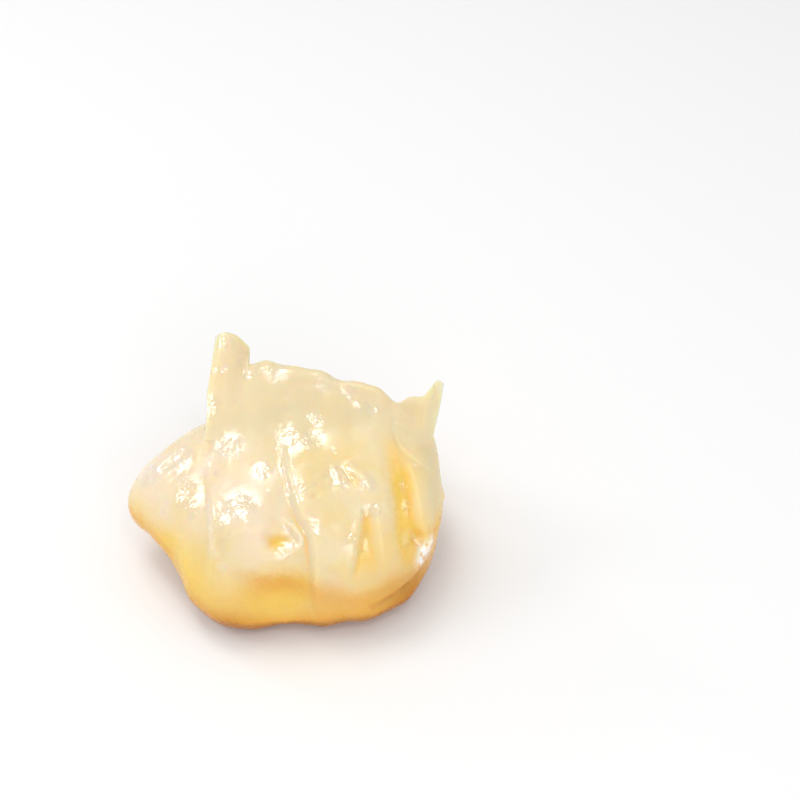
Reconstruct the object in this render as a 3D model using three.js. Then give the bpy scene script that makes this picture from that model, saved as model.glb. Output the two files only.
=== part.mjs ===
// One steamed har gow dumpling: a thin, glassy wheat-starch wrapper round a shrimp filling.
// The front is gathered into overlapping pleats, the back is smooth, and the two sides are
// pinched together along a crest that leans back, with a standing tab at its left end and
// a curled ear at its right end. It is one closed solid, about 55 mm long.
//
// Millimetres, +Z up, the pleated front towards -Y. The origin is at the middle of the
// dumpling's box, on the surface that it rests on.
//
// A point of the wrapper is named by two coordinates: its angle round the dumpling
// (0 right end, 90 back, 180 left end, 270 front) and its rise, from the foot (0) to the
// rim of the crest (1). Places along the crest run from its left end (0) to its right (1).

import * as THREE from 'three';

// ---- how finely the wrapper is divided ----
const FRONT_COLUMNS = 94;
const BACK_COLUMNS = 38;
const ROWS = 42;
const LAST_EVEN_RISE = 0.972;
const RIM_RISES = [0.988, 1.0];
const CROWDED_AT = [   // angles where the pleats' edges lie, and how many more columns stand there
  { angle: 276.5, width: 2.5, more: 1.4 },
  { angle: 294, width: 5, more: 0.6 },
  { angle: 321, width: 5, more: 0.6 },
];

// ---- rings round the filling, from the foot up: half widths from a centre, and height ----
const BACK_SQUARENESS = 2.1;
const OVALS = [   // rise, centre and height, half widths, and how square the front is
  { name: 'foot', rise: 0, centre: [2, -3.5, 0], square: 2.5,
    left: 14, right: 16, front: 15, back: 12.5 },
  { name: 'heel', rise: 0.07, centre: [2, -3.5, 2.4], square: 2.6,
    left: 17, right: 20.5, front: 17.6, back: 16 },
  { name: 'belly', rise: 0.25, centre: [1, -3, 9.5], square: 2.5,
    left: 21.5, right: 24.5, front: 18.6, back: 19.5 },
  { name: 'waist', rise: 0.46, centre: [1.5, -2, 17.5], square: 2.3,
    left: 21.5, right: 24.5, front: 16.6, back: 17.5 },
  { name: 'brow', rise: 0.65, centre: [4, 1, 23.6], square: 2.2,
    left: 19.4, right: 20.9, front: 10.5, back: 9.5 },
];

// ---- the pinched crest: its root on the filling, its free rim, and its thickness ----
const ROOT_LINE = [[-14.4, 0.8], [-3.0, 6.0], [15.0, 6.5], [24.6, 0.3]];
const RIM_LINE = [[-13.8, 12.3], [-2.0, 14.4], [15.0, 8.0], [26.0, 2.6]];
const SLITS = [   // height from root (0) to rim (1), and half thickness
  { name: 'root', rise: 0.81, height: 0.0, half: 2.1 },
  { name: 'face', rise: 0.91, height: 0.55, half: 1.15 },
  { name: 'lip', rise: 0.98, height: 0.93, half: 0.85 },
  { name: 'rim', rise: 1.0, height: 1.0, half: 0.3 },
];
const ROOT_HEIGHT = { start: 26.0, changes: [
  { between: [0, 0.2], by: 1.4 },
  { between: [0.7, 1], by: -1.6 },
] };
const RIM_HEIGHT = { start: 31.0, changes: [
  { name: 'rise to the right', between: [0.1, 0.75], by: 1.7 },
  { name: 'fall past the middle', between: [0.3, 0.62], by: -2.3 },
  { name: 'ear', between: [0.79, 0.95], by: 5.4 },
] };
const RIM_DIPS = [   // the notch beside the ear and the ear's tip
  { at: 0.79, width: 0.06, depth: 1.9 },
  { at: 1.0, width: 0.02, depth: 1.0 },
];
const TAB = {   // its free edge stands this far to the right, back and up of where the rim would be
  ends: [0.178, 0.148],
  shift: [0.7, 4.0, 3.5],
  corners: [{ at: 0.0, width: 0.03, depth: 0.8 }, { at: 0.165, width: 0.055, depth: 3.4 }],
  power: 2.5,
};
const EAR_BACK = { between: [0.9, 0.99], by: 1.5 };
const RIPPLE_POWER = 4;
const RIPPLES = [{ size: 0.35, turns: 31, start: 0 }, { size: 0.2, turns: 53, start: 1 }];
const EAR_CURL = { at: 0.9, width: 0.06, forward: 3.2 };
const THICKER = [
  { name: 'tab', between: [0.3, 0.02], by: 0.2 },
  { name: 'ear', between: [0.8, 0.95], by: 0.1 },
];
const THINNER_BEHIND_EAR = { between: [0.72, 0.84], by: 0.65 };
const END_SHARPNESS = 4.5;    // how late the crest thins towards its two ends
const SIDE_SHARPNESS = 0.25;  // how soon each side reaches its full thickness
const ROUNDNESS = 0.55;       // how far angles gather at the crest's ends, from even (0) to round (1)

// ---- how the pleats run: they lean left as they rise, and the main one swings ----
const PLEAT_LEAN = {
  by: 27,
  rise: [0.24, 0.76],
  grows: [180, 232],
  eases: { between: [277, 294], by: 0.86 },
  ends: [335, 360],
};
const MAIN_PLEAT = 278;
const MAIN_SWING = {   // by: rise, and degrees that the main pleat stands right of its column there
  by: [[0.05, -4], [0.24, -4.3], [0.33, -2], [0.42, 3.4], [0.49, 7.3], [0.545, 8.2], [0.6, 6.9],
    [0.663, 3.3], [0.703, -1], [0.75, -5.5], [0.85, -8]],
  spread: 15,
  starts: [0.02, 0.22],
  ends: [0.74, 0.9],
};
const EASED = { at: 0.76, width: 0.12, ends: [0.9, 0.84], columns: 2, rows: 2 };

// ---- lumps of filling (and dents) that push the wrapper out (and in) ----
const LUMPS = [
  { name: 'left shrimp', at: [-22.5, -2, 12], radius: 7.2, push: 7.6 },
  { name: 'above left shrimp', at: [-17, 3, 20], radius: 6, push: 1.3 },
  { name: 'front foot', at: [-10, -20.5, 6], radius: 7, push: 3.0 },
  { name: 'below left shrimp', at: [-16, -14, 6], radius: 5, push: 1.5 },
  { name: 'middle shrimp', at: [-3, -18, 17.5], radius: 6, push: 1.6 },
  { name: 'below middle shrimp', at: [-1, -22, 10], radius: 5.2, push: -1.1 },
  { name: 'upper front', at: [-9, -13, 21], radius: 7, push: 1.0 },
  { name: 'right front', at: [12, -19, 8], radius: 7, push: 1.0 },
  { name: 'back left', at: [-12, 13, 13], radius: 8, push: 1.8 },
  { name: 'back middle', at: [3, 17, 10], radius: 7, push: 1.4 },
  { name: 'back right', at: [16, 12, 13], radius: 7, push: 1.6 },
  { name: 'back hollow left', at: [-4, 14, 20], radius: 5, push: -0.8 },
  { name: 'back hollow right', at: [10, 14, 20], radius: 5, push: -0.8 },
];

const SMALL_LUMPS = [
  { name: 'left shoulder', at: [-16.9, -9.6, 19.2], radius: 3.2, push: 0.9 },
  { name: 'middle shoulder', at: [-7.5, -15.0, 21.2], radius: 4.0, push: 1.2 },
  { name: 'below the tab', at: [-9.9, -2.1, 25.6], radius: 2.6, push: 0.5 },
  { name: 'lobe', at: [-4.6, -19.4, 17.0], radius: 4.4, push: 0.9 },
  { name: 'lobe right', at: [1.0, -19.6, 16.6], radius: 2.8, push: 0.4 },
  { name: 'under the lobe', at: [-1.6, -21.6, 11.6], radius: 4.6, push: -0.8 },
  { name: 'dimple left', at: [-1.9, -17.8, 19.6], radius: 1.25, push: -1.15 },
  { name: 'dimple right', at: [-0.4, -17.5, 19.8], radius: 1.15, push: -0.85 },
  { name: 'right knob', at: [25.6, -5.6, 17.2], radius: 1.3, push: 0.7 },
  { name: 'right knob above', at: [25.2, -4.6, 19.6], radius: 1.0, push: 0.5 },
  { name: 'right low', at: [20.5, -16.0, 12.0], radius: 3.0, push: 0.6 },
  { name: 'hollow at the right', at: [21.0, -12.6, 14.6], radius: 2.0, push: -0.9 },
];

// ---- creases and ridges: a path of (angle, rise), its width and its height (or depth) ----
const CREASES = [
  { name: 'above the tuck', width: 0.8, height: 0.5,
    path: [[291.1, 0.703], [292.3, 0.683], [294.2, 0.663], [299.2, 0.633]] },
  { name: 'left of that ridge', width: 0.9, height: -0.35,
    path: [[289, 0.7], [290.5, 0.672], [293, 0.645]] },
  { name: 'ring right', width: 0.65, height: 0.6,
    path: [[274, 0.57], [276.6, 0.545], [277.2, 0.513], [275.6, 0.482], [271.5, 0.462]] },
  { name: 'ring left', width: 0.8, height: 0.3,
    path: [[271, 0.552], [267.6, 0.535], [266.2, 0.505], [267.5, 0.478]] },
  { name: 'under the lobe', width: 1.8, height: -0.3,
    path: [[255, 0.392], [262, 0.37], [270.6, 0.362], [275.9, 0.39]] },
  { name: 'below the tab', width: 0.7, height: -0.35,
    path: [[206, 0.765], [217, 0.733], [227.9, 0.678]] },
  { name: 'left chain', width: 0.9, height: 0.3,
    path: [[246.2, 0.6], [248.6, 0.549], [249.8, 0.515], [249, 0.46], [249, 0.4]] },
  { name: 'left lobe groove', width: 0.8, height: -0.2,
    path: [[181.9, 0.49], [183.5, 0.545], [186, 0.61]] },
  { name: 'left lobe ridge', width: 0.8, height: 0.25,
    path: [[187, 0.47], [190, 0.525], [193.4, 0.614]] },
  { name: 'right hem', width: 0.9, height: -0.6,
    path: [[295.4, 0.173], [307.1, 0.198], [318.7, 0.218], [330.5, 0.257]] },
  { name: 'above the hem', width: 1.1, height: 0.4,
    path: [[296, 0.2], [307.1, 0.225], [318.7, 0.245], [329, 0.285]] },
  { name: 'back right', width: 1.2, height: -0.6,
    path: [[48, 0.36], [44, 0.5], [38, 0.66]] },
  { name: 'back middle', width: 1.0, height: -0.55,
    path: [[83, 0.3], [79, 0.48], [72, 0.7]] },
  { name: 'back middle ridge', width: 1.1, height: 0.4,
    path: [[87.5, 0.34], [83, 0.5], [77, 0.7]] },
  { name: 'back middle left', width: 1.3, height: -0.6,
    path: [[116, 0.38], [112, 0.54], [106, 0.7]] },
  { name: 'back left', width: 1.1, height: -0.55,
    path: [[150, 0.34], [145, 0.5], [136, 0.66]] },
  { name: 'back left ridge', width: 1.1, height: 0.35,
    path: [[145.5, 0.36], [140.5, 0.5], [132, 0.64]] },
];

// ---- flaps: the path of an edge with its flap on the left (seen from outside, it turns round
// the flap anticlockwise), the edge's height and softness, and how far the flap reaches ----
const FLAPS = [
  { name: 'ear', height: 0.7, softness: 0.7, reach: 3.5,
    path: [[321.8, 0.78], [323.8, 0.73], [326.5, 0.697], [330.5, 0.663], [338, 0.615], [348, 0.559]] },
  { name: 'left pleat', height: 0.45, softness: 0.9, reach: 7,
    path: [[226, 0.7], [234, 0.638], [243, 0.564], [245.4, 0.49], [242.4, 0.42], [239.6, 0.341],
      [240, 0.25]] },
];
const PATH_STEPS = 48;

// ---- folds: a strip between two rises, its middle (angle) and half width at both ends,
// the softness of its left and right edges, and its height (or depth) ----
const FOLDS = [
  { name: 'main pleat', rise: [0.29, 0.68], angle: [279.3, 279.3], half: [6.0, 4.0],
    edges: [0.55, 5.5], height: 1.35, fade: [0.17, 0.14], fromEdge: true },
  { name: 'tuck', rise: [0.37, 0.585], angle: [294, 294.5], half: [2.6, 0.5],
    edges: [1.3, 1.5], height: -1.3, fade: [0.09, 0.03] },
  { name: 'recess beside the ear', rise: [0.33, 0.72], angle: [321, 316], half: [3.6, 1.4],
    edges: [2.0, 1.0], height: -1.8, fade: [0.09, 0.12] },
  { name: 'right crease', rise: [0.30, 0.62], angle: [343, 343], half: [1.2, 0.4],
    edges: [1.6, 2.2], height: -0.9, fade: [0.12, 0.10] },
  { name: 'end crease', rise: [0.34, 0.64], angle: [366, 360], half: [1.2, 0.4],
    edges: [2.2, 1.8], height: -1.2, fade: [0.12, 0.10] },
];

// ---- rises between which relief grows from the foot and fades into the crest ----
const RELIEF_GROWS = [0, 0.06];
const FOLDS_FADE = [0.86, 0.97];
const LUMPS_FADE = [0.62, 0.8];

// ---- helpers ----
const DEGREE = Math.PI / 180;
const TURN = 2 * Math.PI;
const clamp = (x, low, high) => Math.min(high, Math.max(low, x));
const bell = (x, at, width) => Math.exp(-(((x - at) / width) ** 2));
const mix = (a, b, t) => a + (b - a) * t;

// Eases from 0 at one value of x to 1 at another, which may be the smaller.
function smooth(x, none, all) {
  const t = clamp((x - none) / (all - none), 0, 1);
  return t * t * (3 - 2 * t);
}

function changed(start, changes, t) {
  return changes.reduce((value, change) => value + change.by * smooth(t, ...change.between), start);
}

// A smooth curve through (x, value) knots, level beyond its ends.
function through(knots, x) {
  const last = knots.length - 1;
  const place = clamp(x, knots[0][0], knots[last][0]);
  let i = 0;
  while (i < last - 1 && place >= knots[i + 1][0]) i += 1;
  const slope = (k) => (k === 0 || k === last ? 0
    : (knots[k + 1][1] - knots[k - 1][1]) / (knots[k + 1][0] - knots[k - 1][0]));
  const span = knots[i + 1][0] - knots[i][0];
  const t = (place - knots[i][0]) / span;
  return (2 * t ** 3 - 3 * t ** 2 + 1) * knots[i][1] + (t ** 3 - 2 * t ** 2 + t) * span * slope(i)
    + (3 * t ** 2 - 2 * t ** 3) * knots[i + 1][1] + (t ** 3 - t ** 2) * span * slope(i + 1);
}

function lineInPlan(points) {
  return new THREE.CubicBezierCurve(...points.map(([x, y]) => new THREE.Vector2(x, y)));
}

const rootLine = lineInPlan(ROOT_LINE);
const rimLine = lineInPlan(RIM_LINE);

// ---- rings ----
function ovalPoint(oval, angle) {
  const across = Math.cos(angle);
  const deep = Math.sin(angle);
  const power = 2 / (deep < 0 ? oval.square : BACK_SQUARENESS);
  const halfX = across < 0 ? oval.left : oval.right;
  const halfY = deep < 0 ? oval.front : oval.back;
  return new THREE.Vector3(
    oval.centre[0] + halfX * Math.sign(across) * Math.abs(across) ** power,
    oval.centre[1] + halfY * Math.sign(deep) * Math.abs(deep) ** power,
    oval.centre[2],
  );
}

function placeOnCrest(angle) {
  const turned = ((angle + Math.PI) % TURN) - Math.PI;
  const even = 1 - 2 * Math.abs(turned) / Math.PI;
  return 0.5 + 0.5 * mix(even, Math.cos(angle), ROUNDNESS);
}

function rootHeight(t) {
  return changed(ROOT_HEIGHT.start, ROOT_HEIGHT.changes, t);
}

function rimHeight(t) {
  let z = changed(RIM_HEIGHT.start, RIM_HEIGHT.changes, t);
  for (const dip of RIM_DIPS) z -= dip.depth * bell(t, dip.at, dip.width);
  return z;
}

function crestPoint(t, height) {
  const place = rootLine.getPoint(t).lerp(rimLine.getPoint(t), height);
  const curl = EAR_CURL.forward * bell(t, EAR_CURL.at, EAR_CURL.width);
  const back = EAR_BACK.by * smooth(t, ...EAR_BACK.between) * height;
  const ripple = RIPPLES.reduce((sum, wave) => sum + wave.size * Math.sin(t * wave.turns + wave.start), 0);
  const z = mix(rootHeight(t), rimHeight(t), height) + ripple * height ** RIPPLE_POWER;
  return new THREE.Vector3(place.x, place.y - curl + back, z);
}

// How far the tab carries a point of the crest on past the rim, in the crest's own lie.
function tabShift(t, height) {
  const [right, back, up] = TAB.shift;
  const fall = TAB.corners.reduce((sum, { at, width, depth }) => sum + depth * bell(t, at, width), 0);
  const share = smooth(t, ...TAB.ends) * height ** TAB.power;
  return new THREE.Vector3(right, back, up - fall).multiplyScalar(share);
}

// Half thickness of the crest as a share of the slit's own: more at the folded tab, none
// at its two ends, and less behind the ear, where the crest bends sharply.
function thickness(t, angle) {
  const ends = Math.sqrt(clamp(1 - Math.abs(2 * t - 1) ** END_SHARPNESS, 0, 1));
  const side = Math.abs(Math.sin(angle)) ** SIDE_SHARPNESS;
  const thinner = THINNER_BEHIND_EAR.by * smooth(t, ...THINNER_BEHIND_EAR.between);
  const behind = Math.sin(angle) > 0 ? 1 - thinner : 1;
  return changed(1, THICKER, t) * ends * side * behind;
}

const NEARBY = 0.004;    // step along the crest that gives its direction
const LEAST_RISE = 2;    // the crest is never taken to lie flatter than this over its depth

function slitPoint(slit, angle) {
  const t = placeOnCrest(angle);
  const run = crestPoint(Math.min(t + NEARBY, 1), slit.height);
  run.sub(crestPoint(Math.max(t - NEARBY, 0), slit.height)).setZ(0).normalize();
  const lean = crestPoint(t, 1).sub(crestPoint(t, 0));
  lean.z = Math.max(lean.z, LEAST_RISE);
  const level = new THREE.Vector3(-run.y, run.x, 0);
  const backwards = level.lerp(lean.cross(run).normalize(), Math.min(1, 2 * slit.height)).normalize();
  const offset = Math.sign(Math.sin(angle)) * slit.half * thickness(t, angle);
  return crestPoint(t, slit.height).add(tabShift(t, slit.height)).addScaledVector(backwards, offset);
}

// ---- the smooth wrapper: a curve through the rings at one angle ----
const RINGS = [
  ...OVALS.map((oval) => ({ rise: oval.rise, point: (angle) => ovalPoint(oval, angle) })),
  ...SLITS.map((slit) => ({ rise: slit.rise, point: (angle) => slitPoint(slit, angle) })),
];
const LAST = RINGS.length - 1;
const SLOPE_LIMIT = 1.5;   // keeps the curve from swinging past two rings that lie close

function slopeAt(points, i) {
  const step = (k) => points[k + 1].clone().sub(points[k]).divideScalar(RINGS[k + 1].rise - RINGS[k].rise);
  if (i === 0) return step(0);
  if (i === LAST) return step(LAST - 1);
  const before = step(i - 1);
  const after = step(i);
  const least = Math.min(before.length(), after.length());
  const share = (RINGS[i].rise - RINGS[i - 1].rise) / (RINGS[i + 1].rise - RINGS[i - 1].rise);
  return before.lerp(after, share).clampLength(0, SLOPE_LIMIT * least);
}

function wrapperPoint(angle, rise) {
  let i = 0;
  while (i < LAST - 1 && rise >= RINGS[i + 1].rise) i += 1;
  const first = Math.max(0, i - 1);
  const points = RINGS.map((ring, k) => (k >= first && k <= i + 2 ? ring.point(angle) : null));
  const span = RINGS[i + 1].rise - RINGS[i].rise;
  const t = (rise - RINGS[i].rise) / span;
  return new THREE.Vector3()
    .addScaledVector(points[i], 2 * t ** 3 - 3 * t ** 2 + 1)
    .addScaledVector(slopeAt(points, i), span * (t ** 3 - 2 * t ** 2 + t))
    .addScaledVector(points[i + 1], 3 * t ** 2 - 2 * t ** 3)
    .addScaledVector(slopeAt(points, i + 1), span * (t ** 3 - t ** 2));
}

// The wrapper's columns follow the pleats: they lean and swing as they rise.
function leaning(angle, rise) {
  const degrees = angle / DEGREE;
  const { by, grows, eases, ends } = PLEAT_LEAN;
  const front = smooth(degrees, ...grows) * (1 - smooth(degrees, ...ends));
  const eased = 1 - eases.by * smooth(degrees, ...eases.between);
  const lean = by * front * eased * smooth(rise, ...PLEAT_LEAN.rise);
  const swing = through(MAIN_SWING.by, rise);
  const held = smooth(rise, ...MAIN_SWING.starts) * (1 - smooth(rise, ...MAIN_SWING.ends));
  const near = bell(degrees, MAIN_PLEAT, MAIN_SWING.spread);
  return angle + (swing * held * near - lean) * DEGREE;
}

// ---- relief ----
function lumpHeight(point, lumps) {
  let height = 0;
  for (const lump of lumps) {
    const away = point.distanceTo(new THREE.Vector3(...lump.at));
    height += lump.push * bell(away, 0, lump.radius);
  }
  return height;
}

function foldHeight(angle, rise, millimetresPerRadian) {
  let height = 0;
  for (const fold of FOLDS) {
    const [low, high] = fold.rise;
    const along = (rise - low) / (high - low);
    const half = mix(fold.half[0], fold.half[1], clamp(along, 0, 1));
    const middle = mix(fold.angle[0], fold.angle[1], along) * DEGREE;
    const turned = ((angle - middle + 3 * Math.PI) % TURN) - Math.PI;
    const across = turned * millimetresPerRadian - (fold.fromEdge ? half : 0);
    const [left, right] = fold.edges;
    const leftEdge = smooth(across, -half - left, -half + left);
    const rightEdge = 1 - smooth(across, half - right, half + right);
    const start = smooth(rise, low - fold.fade[0], low + fold.fade[0]);
    const end = 1 - smooth(rise, high - fold.fade[1], high + fold.fade[1]);
    height += fold.height * leftEdge * rightEdge * start * end;
  }
  return height;
}

// ---- the grid of points ----
// Angles from first up to last, in degrees, closer together at the pleats' edges.
function spread(first, last, count) {
  const fineSteps = 3000;
  const crowding = (angle) => (
    CROWDED_AT.reduce((sum, place) => sum + place.more * bell(angle, place.angle, place.width), 1));
  const totals = [0];
  const angleAt = (k) => first + (last - first) * k / fineSteps;
  for (let k = 1; k <= fineSteps; k += 1) {
    totals.push(totals[k - 1] + (crowding(angleAt(k)) + crowding(angleAt(k - 1))) / 2);
  }
  const spreadOut = [];
  for (let i = 0, k = 0; i < count; i += 1) {
    const wanted = totals[fineSteps] * i / count;
    while (totals[k + 1] <= wanted) k += 1;
    spreadOut.push(angleAt(k + (wanted - totals[k]) / (totals[k + 1] - totals[k])) * DEGREE);
  }
  return spreadOut;
}

const COLUMNS = FRONT_COLUMNS + BACK_COLUMNS;
const angles = [...spread(180, 360, FRONT_COLUMNS), ...spread(360, 540, BACK_COLUMNS)];
const rises = [];
for (let i = 0; i < ROWS; i += 1) rises.push(LAST_EVEN_RISE * i / (ROWS - 1));
rises.push(...RIM_RISES);

const column = (i) => (i + COLUMNS) % COLUMNS;

// Outward direction at a point of the grid, and how far apart its columns are per radian.
function lieOfGrid(grid, row, i) {
  const around = grid[row][column(i + 1)].clone().sub(grid[row][column(i - 1)]);
  const below = Math.max(0, row - 1);
  const above = Math.min(rises.length - 1, row + 1);
  const up = grid[above][i].clone().sub(grid[below][i]);
  const turn = (angles[column(i + 1)] - angles[column(i - 1)] + TURN) % TURN;
  return { outward: around.clone().cross(up).normalize(), millimetresPerRadian: around.length() / turn };
}

function pushedOut(grid, heightAt) {
  return grid.map((points, row) => points.map((point, i) => {
    const lie = lieOfGrid(grid, row, i);
    return point.clone().addScaledVector(lie.outward, heightAt(point, row, i, lie));
  }));
}

// Each point averaged with its neighbours, where the crest's root bends in from the filling.
function easedAtRoot(grid) {
  const around = [];
  for (let dr = -EASED.rows; dr <= EASED.rows; dr += 1) {
    for (let dc = -EASED.columns; dc <= EASED.columns; dc += 1) {
      const weight = (1 + EASED.rows - Math.abs(dr)) * (1 + EASED.columns - Math.abs(dc));
      around.push({ dr, dc, weight });
    }
  }
  const whole = around.reduce((sum, { weight }) => sum + weight, 0);
  return grid.map((points, row) => {
    const share = bell(rises[row], EASED.at, EASED.width) * smooth(rises[row], ...EASED.ends);
    return points.map((point, i) => {
      const middle = new THREE.Vector3();
      for (const { dr, dc, weight } of around) {
        const neighbour = grid[clamp(row + dr, 0, rises.length - 1)][column(i + dc)];
        middle.addScaledVector(neighbour, weight / whole);
      }
      return point.clone().lerp(middle, share);
    });
  });
}

// ---- creases and flaps, along paths on the grid ----
function placeOnGrid(grid, angle, rise) {
  let i = 0;
  while (i < COLUMNS - 2 && angles[i + 1] <= angle) i += 1;
  let row = 0;
  while (row < rises.length - 2 && rises[row + 1] <= rise) row += 1;
  const across = (angle - angles[i]) / (angles[i + 1] - angles[i]);
  const up = (rise - rises[row]) / (rises[row + 1] - rises[row]);
  const low = grid[row][i].clone().lerp(grid[row][i + 1], across);
  return low.lerp(grid[row + 1][i].clone().lerp(grid[row + 1][i + 1], across), up);
}

function lineOnGrid(grid, path) {
  const knots = (k) => path.map((place, i) => [i, place[k]]);
  const line = [];
  for (let k = 0; k < PATH_STEPS; k += 1) {
    const t = (path.length - 1) * k / (PATH_STEPS - 1);
    const angle = (through(knots(0), t) + 180) % 360 + 180;
    line.push(placeOnGrid(grid, angle * DEGREE, through(knots(1), t)));
  }
  return line;
}

// How far a point is from a line and to its left, and the line's share, which fades at both ends.
function besideLine(line, point) {
  let nearest = 0;
  line.forEach((place, k) => {
    if (place.distanceTo(point) < line[nearest].distanceTo(point)) nearest = k;
  });
  const before = Math.max(nearest - 1, 0);
  const after = Math.min(nearest + 1, line.length - 1);
  const run = line[after].clone().sub(line[before]).divideScalar(after - before);
  const offset = point.clone().sub(line[nearest]);
  const along = clamp(offset.dot(run) / run.lengthSq(), -0.5, 0.5);
  const away = offset.clone().addScaledVector(run, -along).length();
  const share = Math.max(Math.sin(Math.PI * (nearest + along + 0.5) / line.length), 0);
  return { away, leftward: run.normalize().cross(offset), share };
}

function lineHeight(point, outward, creaseLines, flapLines) {
  let height = 0;
  CREASES.forEach((crease, k) => {
    const { away, share } = besideLine(creaseLines[k], point);
    height += crease.height * bell(away, 0, crease.width) * share;
  });
  FLAPS.forEach(({ height: size, softness, reach }, k) => {
    const { away, leftward, share } = besideLine(flapLines[k], point);
    const edge = smooth(leftward.dot(outward), -softness, softness);
    height += size * edge * (1 - smooth(away, softness, reach)) * share;
  });
  return height;
}

function wrapperGrid() {
  const shown = (row, fade) => smooth(rises[row], ...RELIEF_GROWS) * (1 - smooth(rises[row], ...fade));
  let grid = rises.map((rise) => angles.map((angle) => wrapperPoint(leaning(angle, rise), rise)));
  grid = easedAtRoot(grid);
  grid = pushedOut(grid, (point, row) => lumpHeight(point, LUMPS) * shown(row, LUMPS_FADE));
  grid = pushedOut(grid, (point, row, i, lie) => (
    foldHeight(angles[i], rises[row], lie.millimetresPerRadian) * shown(row, FOLDS_FADE)));
  const creaseLines = CREASES.map((crease) => lineOnGrid(grid, crease.path));
  const flapLines = FLAPS.map((flap) => lineOnGrid(grid, flap.path));
  return pushedOut(grid, (point, row, i, lie) => {
    const height = lumpHeight(point, SMALL_LUMPS) + lineHeight(point, lie.outward, creaseLines, flapLines);
    return height * shown(row, FOLDS_FADE);
  });
}

// ---- closing the skin: sides, a flat foot, and a strip that zips the rim shut ----
function skinTriangles() {
  const triangles = [];
  const index = (row, i) => row * COLUMNS + column(i);
  for (let row = 0; row < rises.length - 1; row += 1) {
    for (let i = 0; i < COLUMNS; i += 1) {
      triangles.push([index(row, i), index(row, i + 1), index(row + 1, i + 1)]);
      triangles.push([index(row, i), index(row + 1, i + 1), index(row + 1, i)]);
    }
  }
  const footCentre = rises.length * COLUMNS;
  for (let i = 0; i < COLUMNS; i += 1) triangles.push([index(0, i + 1), index(0, i), footCentre]);
  return triangles;
}

function rimTriangles() {
  const top = (rises.length - 1) * COLUMNS;
  const along = angles.map((angle) => placeOnCrest(leaning(angle, 1)));
  const front = [];
  for (let i = 0; i <= FRONT_COLUMNS; i += 1) front.push(i);
  const back = [0];
  for (let i = COLUMNS - 1; i >= FRONT_COLUMNS; i -= 1) back.push(i);
  const triangles = [];
  let f = 0;
  let b = 0;
  while (f < front.length - 1 || b < back.length - 1) {
    const frontNext = b === back.length - 1
      || (f < front.length - 1 && along[front[f + 1]] <= along[back[b + 1]]);
    const corners = frontNext ? [front[f], front[f + 1], back[b]] : [front[f], back[b + 1], back[b]];
    if (new Set(corners).size === 3) triangles.push(corners.map((i) => top + i));
    if (frontNext) f += 1;
    else b += 1;
  }
  return triangles;
}

function dumplingGeometry() {
  const grid = wrapperGrid();
  const points = grid.flat();
  const footCentre = new THREE.Vector3();
  for (const point of grid[0]) footCentre.addScaledVector(point, 1 / COLUMNS);
  points.push(footCentre);
  const geometry = new THREE.BufferGeometry().setFromPoints(points);
  geometry.setIndex([...skinTriangles(), ...rimTriangles()].flat());
  geometry.computeBoundingBox();
  const middle = geometry.boundingBox.getCenter(new THREE.Vector3());
  geometry.translate(-middle.x, -middle.y, -geometry.boundingBox.min.z);
  geometry.computeVertexNormals();
  return geometry;
}

// ---- the part ----
const steamedWrapper = new THREE.MeshStandardMaterial({ color: 0xf2deb2, roughness: 0.22, metalness: 0 });
const dumpling = new THREE.Mesh(dumplingGeometry(), steamedWrapper);
dumpling.name = 'dumpling';

const part = new THREE.Group();
part.add(dumpling);

export default part;
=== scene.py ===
import bpy
import numpy as np
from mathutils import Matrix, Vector


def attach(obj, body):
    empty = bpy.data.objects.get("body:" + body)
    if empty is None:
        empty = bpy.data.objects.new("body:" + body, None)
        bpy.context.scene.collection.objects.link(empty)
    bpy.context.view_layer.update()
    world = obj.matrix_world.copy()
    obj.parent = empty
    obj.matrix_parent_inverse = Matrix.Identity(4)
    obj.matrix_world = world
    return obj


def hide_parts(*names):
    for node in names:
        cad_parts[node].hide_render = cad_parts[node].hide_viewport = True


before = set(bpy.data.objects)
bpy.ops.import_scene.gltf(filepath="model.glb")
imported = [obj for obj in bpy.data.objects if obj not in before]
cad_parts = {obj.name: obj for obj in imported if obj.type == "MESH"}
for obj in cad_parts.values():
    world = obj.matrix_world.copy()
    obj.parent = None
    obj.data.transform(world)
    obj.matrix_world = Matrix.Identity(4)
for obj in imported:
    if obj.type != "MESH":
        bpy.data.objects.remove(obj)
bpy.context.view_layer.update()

MM = 0.001

# ---- how finely the wrapper is divided: its columns start at the left end and go by the front ----
LEFT_END, RIGHT_END, WHOLE_TURN = 180, 360, 360
FRONT_COLUMNS = 326
BACK_COLUMNS = 134
EVEN_ROWS = 196
LAST_EVEN_RISE = 0.965
RIM_RISES = [0.972, 0.979, 0.985, 0.990, 0.994, 0.9975, 1.0]
CROWDED_AT = [  # angle, spread in degrees and how many more columns there: the pleats' edges
    (276.5, 2.0, 2.2),
    (294.0, 6.0, 0.7),
    (312.0, 4.0, 0.6),
    (325.0, 5.0, 1.0),
]
CROWDING_STEPS = 6001  # angles at which that crowding is added up
GRID_SPACING = 0.27  # mm between neighbouring points, about
PATH_POINTS = 48  # points of the line that a crease or a flap follows

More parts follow.
